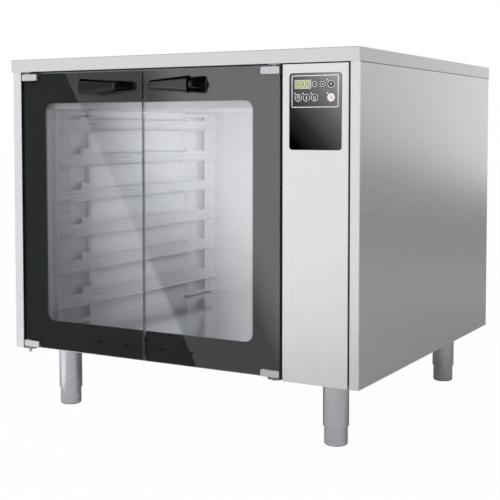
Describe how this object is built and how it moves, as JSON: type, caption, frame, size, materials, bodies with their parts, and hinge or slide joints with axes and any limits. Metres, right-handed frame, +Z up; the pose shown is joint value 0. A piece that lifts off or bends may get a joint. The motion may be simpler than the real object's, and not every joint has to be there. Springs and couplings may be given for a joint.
{
  "type": "dough proofing cabinet",
  "caption": "Stainless dough proofing cabinet with a pair of glass doors, tray racks, a fan and heater column with push keys, and adjustable legs.",
  "frame": {"origin": "bottom centre of the bounding box, on the floor under the middle of the cabinet", "axes": "+Z up, -Y towards the doors (front), +X to the right seen from the front"},
  "size_m": [0.937, 0.949, 0.866],
  "materials": {
    "outer_steel": "fine brushed stainless sheet",
    "liner_steel": "bright rolled stainless sheet",
    "rack_steel": "bright stainless sheet",
    "satin_steel": "satin stainless",
    "zinc_sheet": "zinc plated sheet",
    "cast_aluminium": "as cast",
    "motor_enamel": "satin enamel",
    "heater_sheath": "oxidised sheath",
    "magnet_black": "satin",
    "black_steel": "satin black",
    "door_glass": "polished toughened glass",
    "black_enamel": "fired enamel behind glass",
    "grip_plastic": "fine moulded texture",
    "black_plastic": "moulded",
    "black_rubber": "matt",
    "clear_seal": "satin translucent",
    "overlay_black": "polished",
    "key_black": "satin",
    "key_white": "satin",
    "display_body": "satin",
    "circuit_board": "solder mask",
    "lamp_lens": "frosted"
  },
  "bodies": {
    "cabinet": {"top_cover": "outer_steel", "left_side_panel": "outer_steel", "right_side_panel": "outer_steel", "rear_panel": "outer_steel", "base_panel": "outer_steel", "front_frame": "liner_steel", "door_gasket": "black_rubber", "liner_floor": "liner_steel", "liner_ceiling": "liner_steel", "liner_left_wall": "liner_steel", "liner_right_wall": "liner_steel", "liner_back_wall": "liner_steel", "fan_plenum": "zinc_sheet", "fan_motor": "motor_enamel", "heating_element": "heater_sheath", "water_pan": "rack_steel", "pan_heater": "heater_sheath", "lamp_housing": "zinc_sheet", "lamp_lens": "lamp_lens", "control_fascia": "outer_steel", "control_overlay": "overlay_black", "display_module": "display_body", "control_board": "circuit_board", "hinge_brackets": "satin_steel", "door_magnets": "magnet_black", "leg_tubes": "satin_steel", "cable_gland": "black_plastic", "power_supply": "zinc_sheet", "left_rack_posts": "rack_steel", "right_rack_posts": "rack_steel", "left_tray_runners": "rack_steel", "right_tray_runners": "rack_steel"},
    "left_door": {"left_glass": "door_glass", "left_glass_border": "black_enamel", "left_hinge_fittings": "satin_steel", "left_handle_plate": "grip_plastic", "left_handle_grip": "grip_plastic", "left_edge_seal": "clear_seal", "left_striker_plate": "black_steel"},
    "right_door": {"right_glass": "door_glass", "right_glass_border": "black_enamel", "right_hinge_fittings": "satin_steel", "right_handle_plate": "grip_plastic", "right_handle_grip": "grip_plastic", "right_edge_seal": "clear_seal", "right_striker_plate": "black_steel"},
    "fan": {"fan_impeller": "cast_aluminium", "fan_shaft": "satin_steel"},
    "less_key": {"key_less": "key_black"},
    "more_key": {"key_more": "key_black"},
    "humidity_key": {"key_humidity": "key_black"},
    "timer_key": {"key_timer": "key_black"},
    "temperature_key": {"key_temperature": "key_black"},
    "steam_key": {"key_steam": "key_black"},
    "power_key": {"key_power": "key_white"},
    "front_left_foot": {"foot_front_left": "satin_steel"},
    "front_right_foot": {"foot_front_right": "satin_steel"},
    "rear_left_foot": {"foot_rear_left": "satin_steel"},
    "rear_right_foot": {"foot_rear_right": "satin_steel"}
  },
  "joints": [
    {"name": "left_door_hinge", "type": "hinge", "parent": "cabinet", "child": "left_door", "pos_m": [-0.4233, -0.4265, 0.493], "axis": [0, 0, -1], "range_deg": [0, 110]},
    {"name": "right_door_hinge", "type": "hinge", "parent": "cabinet", "child": "right_door", "pos_m": [0.2673, -0.4265, 0.493], "axis": [0, 0, 1], "range_deg": [0, 110]},
    {"name": "fan_spin", "type": "hinge", "parent": "cabinet", "child": "fan", "pos_m": [0.27, 0.007, 0.468], "axis": [1, 0, 0], "continuous": true},
    {"name": "less_press", "type": "slide", "parent": "cabinet", "child": "less_key", "axis": [0, 1, 0], "range_m": [0, 0.0008], "stiffness_N_per_m": 2000},
    {"name": "more_press", "type": "slide", "parent": "cabinet", "child": "more_key", "axis": [0, 1, 0], "range_m": [0, 0.0008], "stiffness_N_per_m": 2000},
    {"name": "humidity_press", "type": "slide", "parent": "cabinet", "child": "humidity_key", "axis": [0, 1, 0], "range_m": [0, 0.0008], "stiffness_N_per_m": 2000},
    {"name": "timer_press", "type": "slide", "parent": "cabinet", "child": "timer_key", "axis": [0, 1, 0], "range_m": [0, 0.0008], "stiffness_N_per_m": 2000},
    {"name": "temperature_press", "type": "slide", "parent": "cabinet", "child": "temperature_key", "axis": [0, 1, 0], "range_m": [0, 0.0008], "stiffness_N_per_m": 2000},
    {"name": "steam_press", "type": "slide", "parent": "cabinet", "child": "steam_key", "axis": [0, 1, 0], "range_m": [0, 0.0008], "stiffness_N_per_m": 2000},
    {"name": "power_press", "type": "slide", "parent": "cabinet", "child": "power_key", "axis": [0, 1, 0], "range_m": [0, 0.0008], "stiffness_N_per_m": 2000},
    {"name": "front_left_level", "type": "slide", "parent": "cabinet", "child": "front_left_foot", "axis": [0, 0, -1], "range_m": [0, 0.025]},
    {"name": "front_right_level", "type": "slide", "parent": "cabinet", "child": "front_right_foot", "axis": [0, 0, -1], "range_m": [0, 0.025]},
    {"name": "rear_left_level", "type": "slide", "parent": "cabinet", "child": "rear_left_foot", "axis": [0, 0, -1], "range_m": [0, 0.025]},
    {"name": "rear_right_level", "type": "slide", "parent": "cabinet", "child": "rear_right_foot", "axis": [0, 0, -1], "range_m": [0, 0.025]}
  ]
}
